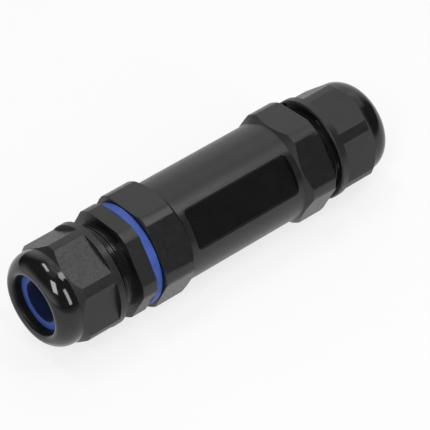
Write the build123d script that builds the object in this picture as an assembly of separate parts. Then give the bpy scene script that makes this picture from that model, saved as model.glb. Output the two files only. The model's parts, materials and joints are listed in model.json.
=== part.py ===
from build123d import *
import math
import os

# Waterproof cable connector, in millimetres.
# The cable axis runs along X with the front end at -X, and the part rests on its collar flats at Z = 0.
# Shapes are drawn about the X axis and lifted to the resting height when they are saved.

# Barrel
barrel_length = 61.6
barrel_r = 15.0
barrel_wall = 3.25
collar_rise = 0.5
collar_corner_rise = 1.85
front_collar_length = 11.1
rear_collar_length = 10.1
collar_bevel = 1.5
collar_edge = 0.4
rear_gap = 3.7
rear_wall = 4.0
rear_funnel = 3.0
thread_runout = 1.0
rib_width = 2.2
rib_height = 1.15
stop_rib_turns = (90, 180, 270)

# Sunk panel on the barrel
panel_margin = 1.95
panel_width = 12.2
panel_step = 0.25
panel_corner_r = 1.5
panel_turn = 60

# Dome nuts, one moulding used at both ends, measured outwards from the open end
nut_length = 20.4
nut_rim_length = 2.4
nut_rim_rise = 1.4
nut_rim_lift = 0.05
nut_corner_bevel = 1.6
nose_straight = 1.1
nose_stretch = 1.52
nose_tip_share = 0.42
nose_step = 0.05
nut_thread_length = 7.8
clamp_cone_length = 7.6
cone_step = 0.4
bead_groove_length = 2.2
mouth_taper = 0.35
lip_round = 1.6
lip_round_share = 0.8
nut_edge = 0.4
notch_width = 2.2
notch_depth = 1.4
notch_step = 0.45
notch_lead = 0.6
notch_wall = 0.45
notch_count = 6
front_nut_turn = 30.1
rear_nut_turn = 23.6

# Grommets, measured like the nuts
grommet_r = 9.0
grommet_bore_r = 6.0
grommet_length = 12.0
bead_rise = 0.9
bead_length = 1.85
mouth_overlap = 0.5

# Necks and clamping claws under the nuts
neck_rise = 0.95
thread_hold = 4.75
claw_length = 6.05
claw_tip_wall = 0.9
claw_root_step = 0.7
claw_count = 8
claw_slot = 1.3
pocket_floor = 2.0
pocket_shoulder = 1.0

# Front gland
front_gap = 4.8
flange_length = 4.7
flange_sink = 0.15
flange_corner_rise = 1.0
flange_turn = 1.5
spigot_rise = 0.55
spigot_thread_length = 10.0
spigot_length = 17.4
spigot_wall = 1.8
gland_funnel = 2.0

# Flange seal
seal_width = 2.7
seal_rise = 0.2
seal_edge = 0.2

# Terminal block
block_length = 24.0
pole_count = 5
pole_turn = 36
wire_depth = 2.9
wire_hole_r = 2.4
centre_hole_r = 1.5
window_width = 5.4
window_length = 19.6
star_depth = 1.3
star_rim = 2.0
star_arm = 1.3
star_hub_r = 2.9

# Terminal bars and their screws
bar_width = 5.0
bar_depth = 5.0
bar_length = 18.0
bar_bore_r = 1.5
screw_pitch = 9.6
screw_r = 1.2
screw_reach = 1.8
screw_head_r = 2.0
screw_head_height = 1.3
screw_head_sink = 0.2

# Clearances between pieces
thread_gap = 0.3
slide_gap = 0.25
seat_gap = 0.15
face_gap = 0.05
cone_gap = 0.5
bead_gap = 0.2
spigot_nose_gap = 0.35
block_gap = 0.25
block_play = 0.2
key_gap = 0.25
screw_hole_gap = 0.1

# How far cutters and joined blanks run past the faces that they cross
overrun = 1.0

# Fits that follow from the sizes above
bore_r = barrel_r - barrel_wall
collar_flats = 2 * (barrel_r + collar_rise)
collar_corner_r = barrel_r + collar_corner_rise
axis_height = collar_flats / 2
nut_rim_r = axis_height - nut_rim_lift
nut_flats = 2 * (nut_rim_r - nut_rim_rise)
neck_r = bore_r + neck_rise
nut_bore_r = neck_r + thread_gap
cone_wide_r = nut_bore_r - cone_step
cone_narrow_r = grommet_r + cone_gap
cone_end = nut_thread_length + clamp_cone_length
lip_start = cone_end + bead_groove_length
lip_round_r = min(lip_round, lip_round_share * (nut_length - lip_start))
bead_r = grommet_r + bead_rise
groove_r = bead_r + bead_gap
mouth_r = grommet_r - mouth_overlap
mouth_edge_r = mouth_r + mouth_taper
notch_floor_r = nut_bore_r + notch_step
notch_top_r = nut_rim_r - notch_wall
pocket_r = grommet_r + slide_gap
passage_r = grommet_r - pocket_shoulder
claw_root_r = neck_r - claw_root_step
claw_tip_r = pocket_r + claw_tip_wall
claw_tip = thread_hold + claw_length
flange_flats = 2 * (barrel_r - flange_sink)
flange_corner_r = barrel_r + flange_corner_rise
spigot_r = bore_r + spigot_rise
barrel_thread_r = spigot_r + thread_gap
spigot_nose_r = bore_r - spigot_nose_gap
spigot_bore_r = spigot_nose_r - spigot_wall
seal_r = barrel_r + seal_rise
seal_bore_r = spigot_r + slide_gap
block_r = bore_r - block_gap
bar_top_r = block_r - screw_head_sink - screw_head_height
wire_circle_r = bar_top_r - wire_depth
screw_hole_r = screw_r + screw_hole_gap

# Nose of a nut: straight from the flats, then a wide arc that runs on smoothly into a tighter one at the tip
nose_tip_r = mouth_edge_r + lip_round_r
nose_base_r = nut_flats / 2 - nose_step
nose_rise = nose_base_r - nose_tip_r
nose_length = nose_stretch * nose_rise
nose_bend = nut_length - nose_length
nose_start = nose_bend - nose_straight
nose_tip_round = nose_tip_share * nose_rise
nose_side_round = (nose_length**2 + nose_rise**2 - 2 * nose_length * nose_tip_round) / (
    2 * (nose_rise - nose_tip_round)
)
nose_join = math.degrees(math.atan2(nose_side_round - nose_rise, nose_length - nose_tip_round))

# Stations along the cable axis
overall_length = 2 * nut_length + front_gap + flange_length + seal_width + barrel_length + rear_gap
front_open_x = nut_length - overall_length / 2
flange_front_x = front_open_x + front_gap
flange_rear_x = flange_front_x + flange_length
barrel_front_x = flange_rear_x + seal_width
barrel_rear_x = barrel_front_x + barrel_length
rear_open_x = barrel_rear_x + rear_gap
spigot_end_x = barrel_front_x + spigot_length
block_front_x = spigot_end_x + block_play
block_rear_x = block_front_x + block_length
block_mid_x = block_front_x + block_length / 2
round_front_x = barrel_front_x + front_collar_length
round_rear_x = barrel_rear_x - rear_collar_length
bore_end_x = barrel_rear_x - rear_wall


def turned(*corners):
    """Solid turned about the cable axis from (x, radius) corners."""
    return revolve(make_face(Polyline(*corners, close=True)), Axis.X)


def drum(x0, x1, radius):
    """Plain cylinder on the cable axis from x0 to x1."""
    return turned((x0, 0), (x0, radius), (x1, radius), (x1, 0))


def hexagon(flats, x0, x1):
    """Hexagonal bar on the cable axis with one flat facing up."""
    section = Plane(origin=(x0, 0, 0), x_dir=(0, 1, 0), z_dir=(1, 0, 0))
    return extrude(section * RegularPolygon(flats / 2, 6, major_radius=False), x1 - x0)


def block_between(x0, x1, width, z0, z1):
    """Rectangular block centred on Y = 0."""
    return Pos((x0 + x1) / 2, 0, (z0 + z1) / 2) * Box(x1 - x0, width, z1 - z0)


def spaced(shape, count, first=0):
    """Copies of a shape spread evenly round the cable axis."""
    return [Rot(first + 360 / count * i, 0, 0) * shape for i in range(count)]


def collar(x0, x1):
    """Hexagonal collar with turned corners; it runs down to the barrel at x1."""
    side = 1 if x1 > x0 else -1
    body = turned(
        (x0, 0),
        (x0, collar_corner_r - collar_edge),
        (x0 + side * collar_edge, collar_corner_r),
        (x1 - side * collar_bevel, collar_corner_r),
        (x1, barrel_r),
        (x1, 0),
    )
    return body & hexagon(collar_flats, min(x0, x1), max(x0, x1))


def clamp_end(root):
    """Neck and tapered claw blank, drawn outwards from a nut's open end at X = 0."""
    return turned(
        (-root, 0),
        (-root, neck_r),
        (thread_hold, neck_r),
        (thread_hold, claw_root_r),
        (claw_tip, claw_tip_r),
        (claw_tip, 0),
    )


def claw_slots():
    """Slots that part the claws, from the claw tips to their roots."""
    slot = block_between(thread_hold, claw_tip + overrun, claw_slot, pocket_r - overrun, neck_r + overrun)
    return spaced(slot, claw_count)


def dome_nut():
    """Nut with its open end at X = 0 and its nose towards +X, one flat facing up."""
    outline = Polyline(
        (nut_length, nose_tip_r),
        (nut_length, 0),
        (0, 0),
        (0, nut_rim_r - nut_edge),
        (nut_edge, nut_rim_r),
        (nose_start - nut_corner_bevel, nut_rim_r),
        (nose_start, nose_base_r),
        (nose_bend, nose_base_r),
    )
    side_centre = (nose_bend, nose_base_r - nose_side_round)
    nose_side = CenterArc(side_centre, nose_side_round, nose_join, 90 - nose_join)
    tip_centre = (nut_length - nose_tip_round, nose_tip_r)
    nose_tip = CenterArc(tip_centre, nose_tip_round, 0, nose_join)
    bore = Polyline(
        (-overrun, 0),
        (-overrun, nut_bore_r),
        (nut_thread_length, nut_bore_r),
        (nut_thread_length, cone_wide_r),
        (cone_end, cone_narrow_r),
        (cone_end, groove_r),
        (lip_start, groove_r),
        (lip_start, mouth_r),
        (nut_length, mouth_edge_r),
        (nut_length + overrun, mouth_edge_r),
        (nut_length + overrun, 0),
        close=True,
    )
    profile = make_face([*outline.edges(), nose_side, nose_tip]) - make_face(bore)
    lip_corner = profile.vertices().group_by(Axis.X)[-1].sort_by(Axis.Y)[0]
    profile = fillet(lip_corner, lip_round_r)
    body = revolve(profile, Axis.X)
    around = drum(nut_rim_length, nut_length, nut_rim_r + overrun)
    body -= around - hexagon(nut_flats, nut_rim_length, nut_length)
    notch_outline = Polyline(
        (-overrun, notch_floor_r - notch_lead),
        (0, notch_floor_r - notch_lead),
        (notch_lead, notch_floor_r),
        (notch_depth, notch_floor_r),
        (notch_depth, notch_top_r),
        (-overrun, notch_top_r),
        close=True,
    )
    notch = extrude(Plane.XZ * make_face(notch_outline), notch_width / 2, both=True)
    body -= spaced(notch, notch_count)
    return body


def grommet():
    """Seal sleeve in the nut's place, with a bead held behind the nut's lip."""
    front = lip_start - seat_gap
    rear = front - grommet_length
    return turned(
        (rear, grommet_bore_r),
        (rear, grommet_r),
        (front - bead_length, grommet_r),
        (front - bead_length, bead_r),
        (front, bead_r),
        (front, grommet_bore_r),
    )


def terminal_bar():
    """Bar in the topmost pole with a wire bore and two screw holes."""
    body = block_between(-bar_length / 2, bar_length / 2, bar_width, bar_top_r - bar_depth, bar_top_r)
    body -= Pos(0, 0, wire_circle_r) * Rot(0, 90, 0) * Cylinder(bar_bore_r, bar_length + 2 * overrun)
    for side in (-1, 1):
        hole = Cylinder(screw_hole_r, bar_depth, align=(Align.CENTER, Align.CENTER, Align.MIN))
        body -= Pos(side * screw_pitch / 2, 0, wire_circle_r) * hole
    return body


def terminal_screw():
    """Screw standing on the topmost bar, over the bar's middle."""
    upwards = (Align.CENTER, Align.CENTER, Align.MIN)
    head = Pos(0, 0, bar_top_r) * Cylinder(screw_head_r, screw_head_height, align=upwards)
    shank = Pos(0, 0, bar_top_r - screw_reach) * Cylinder(screw_r, screw_reach, align=upwards)
    return head + shank


def terminal_block():
    """Drum with a star-shaped face at each end, a window for each pole and a key notch."""
    body = drum(block_front_x, block_rear_x, block_r)
    star = Circle(block_r - star_rim) - Circle(star_hub_r)
    for i in range(pole_count):
        arm = Pos(block_r / 2, 0) * Rectangle(block_r, star_arm)
        star -= Rot(0, 0, 90 + 360 / pole_count * i) * arm
    for x, outward in ((block_front_x, 1), (block_rear_x, -1)):
        face = Plane(origin=(x, 0, 0), x_dir=(0, 1, 0), z_dir=(1, 0, 0))
        body -= extrude(face * star, outward * star_depth)
    through = block_length + 2 * overrun
    wire_hole = Pos(block_mid_x, 0, wire_circle_r) * Rot(0, 90, 0) * Cylinder(wire_hole_r, through)
    window = block_between(
        block_mid_x - window_length / 2,
        block_mid_x + window_length / 2,
        window_width,
        bar_top_r - bar_depth - block_play,
        block_r + overrun,
    )
    body -= spaced(wire_hole, pole_count, pole_turn)
    body -= spaced(window, pole_count, pole_turn)
    body -= Pos(block_mid_x, 0, 0) * Rot(0, 90, 0) * Cylinder(centre_hole_r, through)
    body -= block_between(
        block_front_x - overrun,
        block_rear_x + overrun,
        rib_width + 2 * key_gap,
        bore_r - rib_height - key_gap,
        bore_r + overrun,
    )
    return body


def at_front(shape):
    """Place a shape drawn from a nut's open end at the front, pointing to -X."""
    return Pos(front_open_x, 0, 0) * Rot(0, 0, 180) * shape


def at_rear(shape):
    """Place a shape drawn from a nut's open end at the rear, pointing to +X."""
    return Pos(rear_open_x, 0, 0) * shape


# Front gland: flange, neck with claws, and the spigot that closes the barrel
flange = drum(flange_front_x, flange_rear_x, flange_corner_r)
flange &= Rot(flange_turn, 0, 0) * hexagon(flange_flats, flange_front_x, flange_rear_x)
spigot = turned(
    (flange_rear_x - overrun, 0),
    (flange_rear_x - overrun, spigot_r),
    (barrel_front_x + spigot_thread_length, spigot_r),
    (barrel_front_x + spigot_thread_length, spigot_nose_r),
    (spigot_end_x, spigot_nose_r),
    (spigot_end_x, 0),
)
front_gland = flange + spigot + at_front(clamp_end(front_gap + overrun))
front_gland -= turned(
    (front_open_x - claw_tip - overrun, 0),
    (front_open_x - claw_tip - overrun, pocket_r),
    (front_open_x - pocket_floor, pocket_r),
    (front_open_x - pocket_floor, passage_r),
    (flange_rear_x, passage_r),
    (flange_rear_x + gland_funnel, spigot_bore_r),
    (spigot_end_x + overrun, spigot_bore_r),
    (spigot_end_x + overrun, 0),
)
front_gland -= [at_front(slot) for slot in claw_slots()]

# Flange seal: ring on the spigot between the flange and the barrel
seal_x0 = flange_rear_x + face_gap
seal_x1 = barrel_front_x - face_gap
flange_seal = turned(
    (seal_x0, seal_bore_r),
    (seal_x0, seal_r - seal_edge),
    (seal_x0 + seal_edge, seal_r),
    (seal_x1 - seal_edge, seal_r),
    (seal_x1, seal_r - seal_edge),
    (seal_x1, seal_bore_r),
)

# Barrel: collars, round middle and rear neck in one moulding
barrel = drum(round_front_x - overrun, round_rear_x + overrun, barrel_r)
barrel += collar(barrel_front_x, round_front_x)
barrel += collar(barrel_rear_x, round_rear_x)
barrel += at_rear(clamp_end(rear_gap + overrun))
barrel -= turned(
    (barrel_front_x - overrun, 0),
    (barrel_front_x - overrun, barrel_thread_r),
    (barrel_front_x + spigot_thread_length + slide_gap, barrel_thread_r),
    (barrel_front_x + spigot_thread_length + thread_runout, bore_r),
    (bore_end_x, bore_r),
    (bore_end_x + rear_funnel, passage_r),
    (rear_open_x + pocket_floor, passage_r),
    (rear_open_x + pocket_floor, pocket_r),
    (rear_open_x + claw_tip + overrun, pocket_r),
    (rear_open_x + claw_tip + overrun, 0),
)
barrel -= [at_rear(slot) for slot in claw_slots()]
panel_floor = math.sqrt(barrel_r**2 - (panel_width / 2) ** 2) - panel_step
panel_length = round_rear_x - round_front_x - 2 * panel_margin
panel_outline = RectangleRounded(panel_length, panel_width, panel_corner_r)
panel = Pos((round_front_x + round_rear_x) / 2, 0, panel_floor) * extrude(panel_outline, barrel_r)
barrel -= Rot(panel_turn, 0, 0) * panel
rib_crest_r = bore_r - rib_height
rib_root_r = bore_r + overrun
stop_rib = block_between(block_rear_x + face_gap, bore_end_x + overrun, rib_width, rib_crest_r, rib_root_r)
key_rib = block_between(block_front_x, bore_end_x, rib_width, rib_crest_r, rib_root_r)
barrel += [Rot(turn, 0, 0) * stop_rib for turn in stop_rib_turns]
barrel += key_rib

# Save every piece at the resting height
pieces = {
    "barrel": barrel,
    "front_gland": front_gland,
    "flange_seal": flange_seal,
    "front_nut": Rot(front_nut_turn, 0, 0) * at_front(dome_nut()),
    "rear_nut": Rot(rear_nut_turn, 0, 0) * at_rear(dome_nut()),
    "front_grommet": at_front(grommet()),
    "rear_grommet": at_rear(grommet()),
    "terminal_block": terminal_block(),
}
bar = Pos(block_mid_x, 0, 0) * terminal_bar()
front_screw = Pos(block_mid_x - screw_pitch / 2, 0, 0) * terminal_screw()
rear_screw = Pos(block_mid_x + screw_pitch / 2, 0, 0) * terminal_screw()
for name, shape in (("terminal", bar), ("front_screw", front_screw), ("rear_screw", rear_screw)):
    for i, copy in enumerate(spaced(shape, pole_count, pole_turn)):
        pieces[f"{name}_{i + 1}"] = copy

os.makedirs("parts", exist_ok=True)
for name, shape in pieces.items():
    export_step(Pos(0, 0, axis_height) * shape, f"parts/{name}.step")
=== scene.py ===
import json
import math

import bmesh
import bpy
from mathutils import Matrix, Quaternion, Vector

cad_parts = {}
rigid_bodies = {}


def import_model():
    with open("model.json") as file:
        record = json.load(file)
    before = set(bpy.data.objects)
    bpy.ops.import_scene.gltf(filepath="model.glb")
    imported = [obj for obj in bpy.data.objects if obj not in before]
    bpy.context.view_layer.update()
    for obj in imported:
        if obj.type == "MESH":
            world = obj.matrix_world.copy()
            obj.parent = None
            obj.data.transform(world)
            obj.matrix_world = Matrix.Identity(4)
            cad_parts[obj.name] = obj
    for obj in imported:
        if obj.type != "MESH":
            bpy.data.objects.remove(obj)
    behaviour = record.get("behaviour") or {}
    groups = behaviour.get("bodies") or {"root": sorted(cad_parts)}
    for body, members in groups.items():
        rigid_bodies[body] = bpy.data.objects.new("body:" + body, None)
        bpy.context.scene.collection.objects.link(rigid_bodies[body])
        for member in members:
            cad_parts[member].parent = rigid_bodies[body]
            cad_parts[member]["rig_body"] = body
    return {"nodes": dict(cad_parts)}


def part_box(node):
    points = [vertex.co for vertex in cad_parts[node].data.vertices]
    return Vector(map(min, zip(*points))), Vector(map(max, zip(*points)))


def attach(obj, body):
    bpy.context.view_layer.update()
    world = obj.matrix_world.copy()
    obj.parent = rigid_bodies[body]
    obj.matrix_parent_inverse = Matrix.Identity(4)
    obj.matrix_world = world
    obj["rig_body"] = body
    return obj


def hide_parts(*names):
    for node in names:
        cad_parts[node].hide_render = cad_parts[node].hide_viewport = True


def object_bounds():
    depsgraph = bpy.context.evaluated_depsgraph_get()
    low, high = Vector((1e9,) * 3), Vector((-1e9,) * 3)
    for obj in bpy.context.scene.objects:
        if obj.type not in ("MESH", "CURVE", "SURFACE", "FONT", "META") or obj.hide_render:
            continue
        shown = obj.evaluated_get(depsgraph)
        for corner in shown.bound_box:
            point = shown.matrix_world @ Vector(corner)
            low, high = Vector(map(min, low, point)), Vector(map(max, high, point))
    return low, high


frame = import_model()
cad_low, cad_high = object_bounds()

# Lengths in this script are in metres, written as millimetres times MM
MM = 0.001

# The cable axis runs along X at this height, and the nuts are measured outwards from their open ends
axis_z = cad_high.z / 2
nut_low, nut_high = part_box("rear_nut")
rear_open_x = nut_low.x
nut_length = nut_high.x - nut_low.x

# Camera: direction, distance and framing of the photograph, in a picture of 430 by 430 pixels
picture_side = 430
view_azimuth = -40.34
view_elevation = 42.21
view_roll = 5.3
view_distance = 714.0 * MM
view_scale = 3.619 / MM
origin_pixel = (202.0, 209.9)
sensor_width = 36.0

# Room: a pale wall before the front end that fades with height, soft glows and a low even level
# Each glow has its azimuth and elevation, the angles around them where it is full and gone, and its strength
wall_direction = (-105, 0)
wall_cosines = (0.45, 1.0)
wall_strength = 1.6
wall_heights = (0.1, 0.6)
room_level = 0.035
glows = (
    (135, 25, 12, 44, 0.92),
    (97, 60, 10, 28, 0.85),
    (0, 90, 8, 22, 0.4),
)

# Table: the shares of it that glow for the camera and in reflections, which weaken in front of the part
table_half = 4.0
table_drop = 0.02 * MM
table_white = (0.86, 0.86, 0.86, 1)
table_rough = 0.9
table_specular = 0.1
camera_share = 0.76
mirror_share = 0.85
mirror_span = (-200 * MM, -40 * MM)
mirror_strengths = (0.1, 0.9)

# Lamps: their usual distance, and the near lamp's, which is set out from the front nose
lamp_distance = 3.0
near_lamp_distance = 1.1
front_nose_x = -57.0 * MM

# Threads: the pitch that the joints use, the ridge's section and the share of a turn in which it rises
thread_pitch = 1.5 * MM
thread_rise = 0.24 * MM
thread_sink = 0.06 * MM
thread_root_width = 1.0 * MM
thread_crest_width = 0.35 * MM
thread_steps = 90
thread_lead_in = 0.4

# Walls that carry the threads, and each thread's start and end from the middle of the part
neck_r = 12.7 * MM
nut_bore_r = 13.0 * MM
spigot_r = 12.3 * MM
barrel_thread_r = 12.6 * MM
front_neck_span = (34.5 * MM, 43.0 * MM)
rear_neck_span = (35.6 * MM, 43.0 * MM)
spigot_span = (-26.0 * MM, -17.2 * MM)
barrel_span = (-26.0 * MM, -17.9 * MM)
front_nut_span = (40.5 * MM, 45.2 * MM)
rear_nut_span = (40.1 * MM, 45.2 * MM)

# Nut noses: a wide round runs on smoothly into a tighter one at the tip, and a third rounds the mouth's lip
flats_end = 13.9 * MM
nose_base_r = 14.0 * MM
nose_stretch = 1.52
nose_tip_share = 0.42
mouth_edge_r = 8.85 * MM
mouth_taper = 0.35 * MM
lip_length = 2.8 * MM
lip_round = 1.6 * MM
nose_tip_r = mouth_edge_r + lip_round
nose_rise = nose_base_r - nose_tip_r
nose_length = nose_stretch * nose_rise
tip_round = nose_tip_share * nose_rise
side_round = (nose_length**2 + nose_rise**2 - 2 * nose_length * tip_round) / (2 * (nose_rise - tip_round))
nose_join = math.degrees(math.atan2(side_round - nose_rise, nose_length - tip_round))
mouth_lean = math.atan2(mouth_taper, lip_length)
lip_centre_r = mouth_edge_r - lip_round * math.tan(mouth_lean) + lip_round / math.cos(mouth_lean)

# Each round of the nose: its centre along and off the axis, its radius, and its span in degrees
nose_rounds = (
    (nut_length - nose_length, nose_base_r - side_round, side_round, nose_join, 90.0),
    (nut_length - tip_round, nose_tip_r, tip_round, 0.0, nose_join),
    (nut_length - lip_round, lip_centre_r, lip_round, math.degrees(mouth_lean) - 90, 0.0),
)

# Terminal screws: a cross recess in each head; a row has its first turn and the step to the next in radians
pole_count = 5
pole_turn = 36
pole_step = 360 / pole_count
head_top_r = 11.3 * MM
recess_length = 2.5 * MM
recess_width = 0.65 * MM
recess_depth = 0.75 * MM
recess_taper = 0.55
screw_rows = (("front", 0.4, 0.9), ("rear", 1.1, 1.3))

# Rounding of edges and shading
barrel_edge = 0.2 * MM
moulded_edge = 0.18 * MM
seal_edge = 0.12 * MM
grommet_edge = 0.3 * MM
block_edge = 0.12 * MM
bar_edge = 0.12 * MM
screw_edge = 0.08 * MM
edge_segments = 3
weld_distance = 0.002 * MM
flat_angle = math.radians(0.5)
sharp_angle = math.radians(24)
crossing_cosine = 0.9
smooth_cosine = math.cos(math.radians(36))
nose_tolerance = 0.02 * MM
span_tolerance = 1.0
polish_x = rear_open_x + flats_end

# Ranges: all of a mask, and the middle of a noise where most of it lies
whole = (0.0, 1.0)
noise_middle = (0.3, 0.7)

# Black plastic: tones, noise scales per metre, and how it changes on edges, low walls and polished noses
black_tones = ((0.0062, 0.0062, 0.0066, 1), (0.0078, 0.0078, 0.0082, 1))
# Paler tone added on scuffs and rounded edges: wear, and on the edges also a painted highlight
wear_and_edge_highlight_tone = (0.006, 0.006, 0.006, 1)
grain_scale = 5200
blotch_scale = 240
mark_scale = 900
mark_range = (0.35, 0.75)
mark_spread = 0.04
scuff_scale = 650
scuff_range = (0.6, 0.78)
edge_shine = 0.08
grain_height = 0.02 * MM
barrel_smooth_r = 14.5 * MM
gland_smooth_r = 13.4 * MM
smooth_fade = 0.1 * MM
smooth_share = 0.55
smooth_gloss = (0.3, 0.5)
polish_r = 8.9 * MM
polish_fade = 0.5 * MM
polish_gloss = (0.15, 0.5)
smudge_range = (0.4, 0.8)
smudge_rough = (0.07, 0.12)

# Blue silicone: tones, a navy painted shade inside a cable hole, and painted shade that darkens the ring
# round it towards its outer edge, where the nut's mouth wall shades it
blue_tones = ((0.0235, 0.062, 0.3, 1), (0.0315, 0.0765, 0.348, 1))
painted_shade_navy = (0.0085, 0.0165, 0.056, 1)
hole_r = 6.05 * MM
hole_fade = 0.35 * MM
hole_gloss = (0.1, 0.4)
# Painted shade towards the ring's outer edge: where it starts, its fade, and the share of blue kept inside
# and beyond it
ring_edge_shade_r = 7.9 * MM
ring_edge_shade_fade = 0.7 * MM
ring_edge_shade_shares = (0.87, 0.25)
cloud_scale = 320
bloom_scale = 3800
rubber_rough = (0.5, 0.64)
rubber_sheen = 0.05
rubber_grain = 0.15
rubber_height = 0.03 * MM

# Plated metal: light and dark tones, and scales per metre of the streaks along X, Y and Z and of the patches
nickel_tones = ((0.66, 0.64, 0.6, 1), (0.56, 0.54, 0.5, 1))
steel_tones = ((0.6, 0.61, 0.63, 1), (0.5, 0.51, 0.53, 1))
nickel_streaks = (300, 4000, 4000)
steel_streaks = (2500, 2500, 2500)
patch_scale = 420
metal_shine = 0.06
metal_dullness = 0.1
streak_strength = 0.12
streak_height = 0.02 * MM


def vector_of(azimuth, elevation):
    """Unit vector towards an azimuth and elevation in degrees; azimuth 0 is -Y, 90 is +X."""
    a = math.radians(azimuth)
    e = math.radians(elevation)
    return Vector((math.sin(a) * math.cos(e), -math.cos(a) * math.cos(e), math.sin(e)))


def set_input(tree, socket, value):
    """Input of a node, linked where the value is an output of another node."""
    if isinstance(value, bpy.types.NodeSocket):
        tree.links.new(value, socket)
    else:
        socket.default_value = value


def add_node(tree, kind, *ordered, **named):
    """New shader node with its inputs given in order, or by name with spaces written as _."""
    node = tree.nodes.new(kind)
    for place, value in enumerate(ordered):
        set_input(tree, node.inputs[place], value)
    for name, value in named.items():
        set_input(tree, node.inputs[name.replace("_", " ")], value)
    return node


def math_node(tree, operation, *values):
    """Result of a math node with its inputs in order."""
    node = add_node(tree, "ShaderNodeMath", *values)
    node.operation = operation
    return node.outputs[0]


def vector_node(tree, operation, *values):
    """Result of a vector math node with its inputs in order."""
    node = add_node(tree, "ShaderNodeVectorMath", *values)
    node.operation = operation
    return node.outputs["Value" if operation in ("DOT_PRODUCT", "LENGTH") else "Vector"]


def noise(tree, place, scale, detail, roughness=0.5):
    """Noise value between 0 and 1, with its scale per metre."""
    node = add_node(
        tree, "ShaderNodeTexNoise", Vector=place, Scale=scale, Detail=detail, Roughness=roughness
    )
    return node.outputs["Fac"]


def remap(tree, value, source, target):
    """Value carried smoothly from one range to another."""
    node = add_node(
        tree,
        "ShaderNodeMapRange",
        Value=value,
        From_Min=source[0],
        From_Max=source[1],
        To_Min=target[0],
        To_Max=target[1],
    )
    node.interpolation_type = "SMOOTHSTEP"
    return node.outputs["Result"]


def blend_colour(tree, factor, first, second, kind="MIX"):
    """Colour made from two others, each an RGBA value or a link."""
    node = tree.nodes.new("ShaderNodeMix")
    node.data_type = "RGBA"
    node.blend_type = kind
    for name, value in (("Factor", factor), ("A", first), ("B", second)):
        set_input(tree, node.inputs[name], value)
    return node.outputs["Result"]


def start_material(name):
    """New node material with its tree, shader and object coordinates."""
    made = bpy.data.materials.new(name)
    made.use_nodes = True
    tree = made.node_tree
    place = add_node(tree, "ShaderNodeTexCoord").outputs["Object"]
    return made, tree, tree.nodes["Principled BSDF"], place


def set_bump(tree, shader, height, strength, distance):
    """Bump from a height value onto the shader's normal."""
    bump = add_node(tree, "ShaderNodeBump", Height=height, Strength=strength, Distance=distance)
    tree.links.new(bump.outputs["Normal"], shader.inputs["Normal"])


def axis_radius(tree, place):
    """Distance from the cable axis."""
    off = vector_node(tree, "SUBTRACT", place, (0, 0, axis_z))
    return vector_node(tree, "LENGTH", vector_node(tree, "MULTIPLY", off, (0, 1, 1)))


def edge_mask(tree):
    """1 on the rounded edges that soften() marks, 0 elsewhere."""
    node = tree.nodes.new("ShaderNodeAttribute")
    node.attribute_name = "edge"
    return node.outputs["Fac"]


def plastic_colour(tree, place, edge):
    """Near-black tone in soft blotches, paler on scuffs from wear and on rounded edges, where the paler tone
    is partly wear and partly a painted edge highlight.
    """
    blotch = remap(tree, noise(tree, place, blotch_scale, detail=4), noise_middle, whole)
    tone = blend_colour(tree, blotch, *black_tones)
    scuff = remap(tree, noise(tree, place, scuff_scale, detail=8, roughness=0.72), scuff_range, whole)
    # Scuffs are wear; the paler rounded edges are partly wear and partly a painted edge highlight
    wear_and_edge_highlight = math_node(tree, "MAXIMUM", edge, scuff)
    return blend_colour(tree, wear_and_edge_highlight, tone, wear_and_edge_highlight_tone, "ADD")


def black_plastic(name, rough, grain, smooth_within=None, polished_from=None):
    """Black moulded plastic with fine grain and handling marks.

    It is smoother within a radius from the axis, or polished on the nose beyond a distance along the axis.
    """
    made, tree, shader, place = start_material(name)
    gloss = shader.inputs["Specular IOR Level"]
    edge = edge_mask(tree)
    height = noise(tree, place, grain_scale, detail=3)
    marks = noise(tree, place, mark_scale, detail=5, roughness=0.65)
    spread = remap(tree, marks, mark_range, (rough - mark_spread, rough + mark_spread))
    spread = math_node(tree, "SUBTRACT", spread, math_node(tree, "MULTIPLY", edge, edge_shine))
    if smooth_within is not None:
        fade = (smooth_within, smooth_within + smooth_fade)
        share = remap(tree, axis_radius(tree, place), fade, (smooth_share, 1.0))
        spread = math_node(tree, "MULTIPLY", spread, share)
        tree.links.new(remap(tree, share, (smooth_share, 1.0), smooth_gloss), gloss)
    if polished_from is not None:
        along = add_node(tree, "ShaderNodeSeparateXYZ", Vector=place).outputs["X"]
        along = math_node(tree, "ABSOLUTE", along)
        nose = remap(tree, along, (polished_from, polished_from + polish_fade), whole)
        outside = remap(tree, axis_radius(tree, place), (polish_r, polish_r + polish_fade), whole)
        polish = math_node(tree, "MULTIPLY", nose, outside)
        smudge = remap(tree, marks, smudge_range, smudge_rough)
        gap = math_node(tree, "SUBTRACT", smudge, spread)
        spread = math_node(tree, "MULTIPLY_ADD", gap, polish, spread)
        matt = math_node(tree, "SUBTRACT", 1.0, polish)
        height = math_node(tree, "MULTIPLY", height, matt)
        tree.links.new(remap(tree, outside, whole, polish_gloss), gloss)
    tree.links.new(plastic_colour(tree, place, edge), shader.inputs["Base Color"])
    tree.links.new(spread, shader.inputs["Roughness"])
    set_bump(tree, shader, height, grain, grain_height)
    return made


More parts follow.
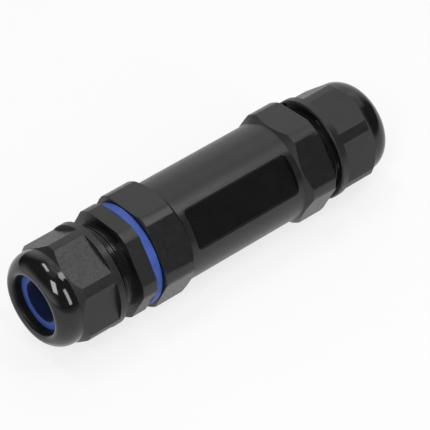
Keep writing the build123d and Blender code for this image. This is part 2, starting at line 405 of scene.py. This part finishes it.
def blue_rubber(name, cable_hole=False):
    """Blue silicone with a dull bloom; with a cable hole, painted shade darkens the bore to navy and the
    ring round it towards its outer edge.
    """
    made, tree, shader, place = start_material(name)
    cloud = remap(tree, noise(tree, place, cloud_scale, detail=4), noise_middle, whole)
    bloom = noise(tree, place, bloom_scale, detail=3)
    colour = blend_colour(tree, cloud, *blue_tones)
    if cable_hole:
        # Painted shade: navy in the bore and towards the ring's outer edge, with the gloss lowered along
        # with it
        radius = axis_radius(tree, place)
        unshaded = remap(tree, radius, (hole_r, hole_r + hole_fade), whole)
        ring_edge_shade = remap(tree, radius, (ring_edge_shade_r, ring_edge_shade_r + ring_edge_shade_fade), ring_edge_shade_shares)
        unshaded = math_node(tree, "MULTIPLY", unshaded, ring_edge_shade)
        colour = blend_colour(tree, unshaded, painted_shade_navy, colour)
        tree.links.new(remap(tree, unshaded, whole, hole_gloss), shader.inputs["Specular IOR Level"])
    tree.links.new(colour, shader.inputs["Base Color"])
    tree.links.new(remap(tree, bloom, noise_middle, rubber_rough), shader.inputs["Roughness"])
    shader.inputs["Sheen Weight"].default_value = rubber_sheen
    set_bump(tree, shader, bloom, rubber_grain, rubber_height)
    return made


def metal(name, tones, rough, streaks):
    """Plated metal with drawn streaks and a duller tone in patches."""
    made, tree, shader, place = start_material(name)
    stretched = add_node(tree, "ShaderNodeMapping", Vector=place, Scale=streaks).outputs["Vector"]
    lines = noise(tree, stretched, 1.0, detail=4, roughness=0.6)
    patch = remap(tree, noise(tree, place, patch_scale, detail=3), noise_middle, whole)
    spread = remap(tree, lines, noise_middle, (rough - metal_shine, rough + metal_dullness))
    tree.links.new(blend_colour(tree, patch, *tones), shader.inputs["Base Color"])
    tree.links.new(spread, shader.inputs["Roughness"])
    shader.inputs["Metallic"].default_value = 1.0
    set_bump(tree, shader, lines, streak_strength, streak_height)
    return made


def has_room(edge, width, sharp):
    """True where the edges that cross this one are long enough for it to be rounded."""
    along = (edge.verts[1].co - edge.verts[0].co).normalized()
    for corner in edge.verts:
        for other in corner.link_edges:
            far = other.other_vert(corner)
            if other is edge or abs((far.co - corner.co).normalized().dot(along)) > crossing_cosine:
                continue
            share = 0.5 if any(e in sharp for e in far.link_edges if e is not other) else 1.0
            if other.calc_length() * share < width:
                return False
    return True


def nose_normal(place):
    """Outward normal on a nut's round nose or lip, or None elsewhere."""
    radius = math.hypot(place.y, place.z - axis_z)
    for centre, centre_r, round_r, low, high in nose_rounds:
        along = abs(place.x) - rear_open_x - centre
        rise = radius - centre_r
        angle = math.degrees(math.atan2(rise, along))
        off = abs(math.hypot(along, rise) - round_r)
        if off < nose_tolerance and low - span_tolerance < angle < high + span_tolerance:
            share = rise / radius
            towards = (math.copysign(along, place.x), share * place.y, share * (place.z - axis_z))
            return Vector(towards).normalized()
    return None


def corner_normals(work, nose):
    """Normal of every face corner: faces that meet at a low angle share it, and the larger face leads."""
    work.normal_update()
    areas = [face.calc_area() for face in work.faces]
    normals = []
    for face in work.faces:
        for loop in face.loops:
            exact = nose_normal(loop.vert.co) if nose else None
            if exact is not None and exact.dot(face.normal) > smooth_cosine:
                normals.append(exact)
                continue
            total = Vector()
            for near in loop.vert.link_faces:
                if near.normal.dot(face.normal) > smooth_cosine:
                    total += near.normal * areas[near.index]
            normals.append(total.normalized())
    return normals


def welded(source):
    """Working copy of a node's mesh with its corners joined."""
    work = bmesh.new()
    work.from_mesh(source.data)
    bmesh.ops.remove_doubles(work, verts=work.verts, dist=weld_distance)
    return work


def cross_cutter(node, pole, twist):
    """Cross-shaped cutter that sinks into the top of a screw head."""
    low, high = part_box(node)
    lean = math.radians(pole_turn + pole_step * pole)
    outward = Vector((0, -math.sin(lean), math.cos(lean)))
    across = outward.cross(Vector((1, 0, 0)))
    centre = Vector(((low.x + high.x) / 2, 0, axis_z)) + outward * head_top_r
    far = recess_length / 2
    near = recess_width / 2
    arm = ((far, -near), (far, near), (near, near))
    outline = []
    for quarter in range(4):
        angle = quarter * math.pi / 2 + twist
        c = math.cos(angle)
        s = math.sin(angle)
        outline += [(a * c - b * s, a * s + b * c) for a, b in arm]
    work = bmesh.new()
    rings = []
    for lift, scale in ((recess_depth, 1.0), (0.0, 1.0), (-recess_depth, recess_taper)):
        level = centre + outward * lift
        corners = [level + Vector((a, 0, 0)) * scale + across * b * scale for a, b in outline]
        rings.append([work.verts.new(corner) for corner in corners])
    count = len(outline)
    for first, second in zip(rings, rings[1:]):
        for k in range(count):
            work.faces.new((first[k], first[(k + 1) % count], second[(k + 1) % count], second[k]))
    work.faces.new(rings[0])
    work.faces.new(rings[-1])
    bmesh.ops.recalc_face_normals(work, faces=work.faces)
    return work


def less(body, cutter):
    """Working mesh of one closed shape with another taken out of it."""
    pair = []
    for name, work in (("body", body), ("cutter", cutter)):
        mesh = bpy.data.meshes.new(name)
        work.to_mesh(mesh)
        work.free()
        pair.append(bpy.data.objects.new(name, mesh))
        bpy.context.scene.collection.objects.link(pair[-1])
    cut = pair[0].modifiers.new("cut", "BOOLEAN")
    cut.operation = "DIFFERENCE"
    cut.solver = "EXACT"
    cut.object = pair[1]
    made = bpy.data.meshes.new_from_object(pair[0].evaluated_get(bpy.context.evaluated_depsgraph_get()))
    work = bmesh.new()
    work.from_mesh(made)
    for holder in pair:
        bpy.data.meshes.remove(holder.data)
    bpy.data.meshes.remove(made)
    return work


def soften(node, width, material, nose=False, cutter=None):
    """Copy of a node with its sharp edges rounded; it stands for the node and moves with it."""
    source = frame["nodes"][node]
    work = welded(source)
    if cutter:
        work = less(work, cutter)
    bmesh.ops.dissolve_limit(work, angle_limit=flat_angle, verts=work.verts, edges=work.edges)
    mark = work.faces.layers.float.new("edge")
    sharp = {e for e in work.edges if len(e.link_faces) == 2 and e.calc_face_angle() > sharp_angle}
    if nose:
        sharp = {e for e in sharp if min(abs(v.co.x) for v in e.verts) < polish_x}
    made = bmesh.ops.bevel(
        work,
        geom=[e for e in sharp if has_room(e, width, sharp)],
        offset=width,
        segments=edge_segments,
        profile=0.5,
        affect="EDGES",
        clamp_overlap=True,
    )
    for face in made["faces"]:
        face[mark] = 1.0
    for face in work.faces:
        face.smooth = True
    work.faces.index_update()
    normals = corner_normals(work, nose)
    mesh = bpy.data.meshes.new(node + "_soft")
    work.to_mesh(mesh)
    work.free()
    mesh.normals_split_custom_set(normals)
    mesh.materials.append(material)
    piece = bpy.data.objects.new(node + "_soft", mesh)
    bpy.context.scene.collection.objects.link(piece)
    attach(piece, source["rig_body"])
    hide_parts(node)


def helix(name, outward, span, wall_r, body, material, inside=False):
    """Thread ridge on a wall: right-handed about the outward direction (-1 or 1 along X)."""
    start, end = span
    rise = -thread_rise if inside else thread_rise
    sink = -thread_sink if inside else thread_sink
    shift = thread_pitch / 2 if inside else 0.0
    turns = (end - start) / thread_pitch
    count = int(turns * thread_steps)
    lead_in = thread_lead_in * thread_steps
    work = bmesh.new()
    rings = []
    for i in range(count + 1):
        turn = 2 * math.pi * i / thread_steps
        along = start + shift + thread_pitch * i / thread_steps
        taper = min(1.0, i / lead_in, (count - i) / lead_in)
        corners = (
            (-thread_root_width / 2, -sink),
            (-thread_crest_width / 2, rise * taper),
            (thread_crest_width / 2, rise * taper),
            (thread_root_width / 2, -sink),
        )
        ring = []
        for offset, lift in corners:
            r = wall_r + lift
            place = (outward * (along + offset), -outward * r * math.sin(turn), axis_z + r * math.cos(turn))
            ring.append(work.verts.new(place))
        rings.append(ring)
    for first, second in zip(rings, rings[1:]):
        for k in range(len(first)):
            work.faces.new((first[k], first[k - 1], second[k - 1], second[k]))
    work.faces.new(rings[0])
    work.faces.new(reversed(rings[-1]))
    bmesh.ops.recalc_face_normals(work, faces=work.faces)
    mesh = bpy.data.meshes.new(name)
    work.to_mesh(mesh)
    work.free()
    mesh.materials.append(material)
    piece = bpy.data.objects.new(name, mesh)
    bpy.context.scene.collection.objects.link(piece)
    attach(piece, body)


def softbox(name, azimuth, elevation, wide, high, radiance, roll=0.0, distance=lamp_distance, seen_x=0.0):
    """Rectangular lamp; direction, width, height and roll in degrees, as seen from a point on the axis."""
    lamp = bpy.data.lights.new(name, "AREA")
    lamp.shape = "RECTANGLE"
    lamp.size = 2 * distance * math.tan(math.radians(wide / 2))
    lamp.size_y = 2 * distance * math.tan(math.radians(high / 2))
    lamp.energy = radiance * math.pi * lamp.size * lamp.size_y
    holder = bpy.data.objects.new(name, lamp)
    bpy.context.scene.collection.objects.link(holder)
    towards = vector_of(azimuth, elevation)
    holder.location = Vector((seen_x, 0, axis_z)) + towards * distance
    holder.rotation_mode = "QUATERNION"
    holder.rotation_quaternion = towards.to_track_quat("Z", "Y") @ Quaternion((0, 0, 1), math.radians(roll))


def make_camera():
    """Camera of the photograph: the part lay rolled about its axis, so the camera leans by that angle."""
    lean = Matrix.Rotation(math.radians(view_roll), 3, "X")
    back = lean @ vector_of(view_azimuth, view_elevation)
    right = lean @ vector_of(view_azimuth + 90, 0)
    up = back.cross(right)
    middle = Vector((0, 0, axis_z))
    across = (picture_side / 2 - origin_pixel[0]) / view_scale
    down = (picture_side / 2 - origin_pixel[1]) / view_scale
    place = middle + back * view_distance
    forward = (middle + right * across - up * down - place).normalized()
    side = forward.cross(up).normalized()
    top = side.cross(forward)
    camera = bpy.data.objects.new("camera", bpy.data.cameras.new("camera"))
    bpy.context.scene.collection.objects.link(camera)
    camera.matrix_world = Matrix.Translation(place) @ Matrix((side, top, -forward)).transposed().to_4x4()
    camera.data.sensor_width = sensor_width
    camera.data.lens = sensor_width * view_scale * view_distance / picture_side
    bpy.context.scene.camera = camera


def table_finish():
    """White table; the camera sees it evenly white, in reflections it glows more strongly near the part's
    front than further out, and the part's shadow is kept.
    """
    made, tree, shader, place = start_material("white_table")
    shader.inputs["Base Color"].default_value = table_white
    shader.inputs["Roughness"].default_value = table_rough
    shader.inputs["Specular IOR Level"].default_value = table_specular
    path = tree.nodes.new("ShaderNodeLightPath").outputs
    mirrored = math_node(tree, "MAXIMUM", path["Is Glossy Ray"], path["Is Transmission Ray"])
    mirrored = math_node(tree, "MULTIPLY", mirrored, mirror_share)
    direct = math_node(tree, "MULTIPLY", path["Is Camera Ray"], camera_share)
    seen = math_node(tree, "MAXIMUM", mirrored, direct)
    depth = add_node(tree, "ShaderNodeSeparateXYZ", Vector=place).outputs["Y"]
    strength = remap(tree, depth, mirror_span, mirror_strengths)
    strength = math_node(tree, "MAXIMUM", strength, path["Is Camera Ray"])
    glow = add_node(tree, "ShaderNodeEmission", Color=(1, 1, 1, 1), Strength=strength)
    mix = add_node(tree, "ShaderNodeMixShader", seen, shader.outputs["BSDF"], glow.outputs["Emission"])
    tree.links.new(mix.outputs["Shader"], tree.nodes["Material Output"].inputs["Surface"])
    return made


def make_floor():
    """Wide flat table just under the part."""
    work = bmesh.new()
    bmesh.ops.create_grid(work, x_segments=1, y_segments=1, size=table_half)
    mesh = bpy.data.meshes.new("floor")
    work.to_mesh(mesh)
    work.free()
    mesh.materials.append(table_finish())
    floor = bpy.data.objects.new("floor", mesh)
    bpy.context.scene.collection.objects.link(floor)
    floor.location.z = -table_drop


def make_world():
    """Dim room with soft glows and a pale wall before the front end; the camera sees it as white."""
    world = bpy.data.worlds.new("studio")
    world.use_nodes = True
    bpy.context.scene.world = world
    tree = world.node_tree
    towards = add_node(tree, "ShaderNodeTexCoord").outputs["Generated"]
    height = add_node(tree, "ShaderNodeSeparateXYZ", Vector=towards).outputs["Z"]
    facing = vector_node(tree, "DOT_PRODUCT", towards, vector_of(*wall_direction))
    wall = remap(tree, facing, wall_cosines, (0.0, wall_strength))
    level = math_node(tree, "MULTIPLY", wall, remap(tree, height, wall_heights, (1.0, 0.0)))
    for azimuth, elevation, inner, outer, strength in glows:
        facing = vector_node(tree, "DOT_PRODUCT", towards, vector_of(azimuth, elevation))
        cosines = (math.cos(math.radians(outer)), math.cos(math.radians(inner)))
        level = math_node(tree, "ADD", level, remap(tree, facing, cosines, (0.0, strength)))
    level = math_node(tree, "ADD", level, room_level)
    seen = tree.nodes.new("ShaderNodeLightPath").outputs["Is Camera Ray"]
    background = tree.nodes["Background"]
    background.inputs["Color"].default_value = (1, 1, 1, 1)
    tree.links.new(remap(tree, seen, whole, (level, 1.0)), background.inputs["Strength"])


# Camera, table, room and lamps
bpy.context.scene.view_settings.view_transform = "Standard"
make_camera()
make_floor()
make_world()
softbox("left_lamp", azimuth=-53, elevation=45.5, wide=16, high=30, radiance=9.7)
softbox("right_lamp", azimuth=1.5, elevation=25.5, wide=14, high=35, radiance=7.4)
softbox(
    "top_lamp",
    azimuth=51,
    elevation=61,
    wide=16,
    high=14,
    radiance=6.2,
    distance=near_lamp_distance,
    seen_x=front_nose_x,
)
softbox("back_lamp", azimuth=-167, elevation=74, wide=10, high=24, radiance=8.0, roll=-40)

# Finishes
barrel_finish = black_plastic("satin_plastic", rough=0.34, grain=0.2, smooth_within=barrel_smooth_r)
gland_finish = black_plastic("gland_plastic", rough=0.4, grain=0.2, smooth_within=gland_smooth_r)
nut_finish = black_plastic("nut_plastic", rough=0.4, grain=0.2, polished_from=polish_x)
block_finish = black_plastic("block_plastic", rough=0.55, grain=0.3)
seal_rubber = blue_rubber("blue_silicone")
sleeve_rubber = blue_rubber("sleeve_silicone", cable_hole=True)
nickel = metal("nickel_plate", nickel_tones, rough=0.28, streaks=nickel_streaks)
steel = metal("zinc_steel", steel_tones, rough=0.3, streaks=steel_streaks)

# Moulded pieces, seals, and the terminal block with its bars and screws
soften("barrel", barrel_edge, barrel_finish)
soften("front_gland", moulded_edge, gland_finish)
soften("front_nut", moulded_edge, nut_finish, nose=True)
soften("rear_nut", moulded_edge, nut_finish, nose=True)
soften("flange_seal", seal_edge, seal_rubber)
soften("front_grommet", grommet_edge, sleeve_rubber)
soften("rear_grommet", grommet_edge, sleeve_rubber)
soften("terminal_block", block_edge, block_finish)
for pole in range(pole_count):
    soften(f"terminal_{pole + 1}", bar_edge, nickel)
    for end, first_twist, twist_step in screw_rows:
        screw = f"{end}_screw_{pole + 1}"
        recess = cross_cutter(screw, pole, first_twist + twist_step * pole)
        soften(screw, screw_edge, steel, cutter=recess)

# Threads
helix("front_neck_thread", -1, front_neck_span, neck_r, "front_gland", gland_finish)
helix("rear_neck_thread", 1, rear_neck_span, neck_r, "housing", barrel_finish)
helix("spigot_thread", 1, spigot_span, spigot_r, "front_gland", gland_finish)
helix("barrel_thread", 1, barrel_span, barrel_thread_r, "housing", barrel_finish, inside=True)
helix("front_nut_thread", -1, front_nut_span, nut_bore_r, "front_nut", nut_finish, inside=True)
helix("rear_nut_thread", 1, rear_nut_span, nut_bore_r, "rear_nut", nut_finish, inside=True)
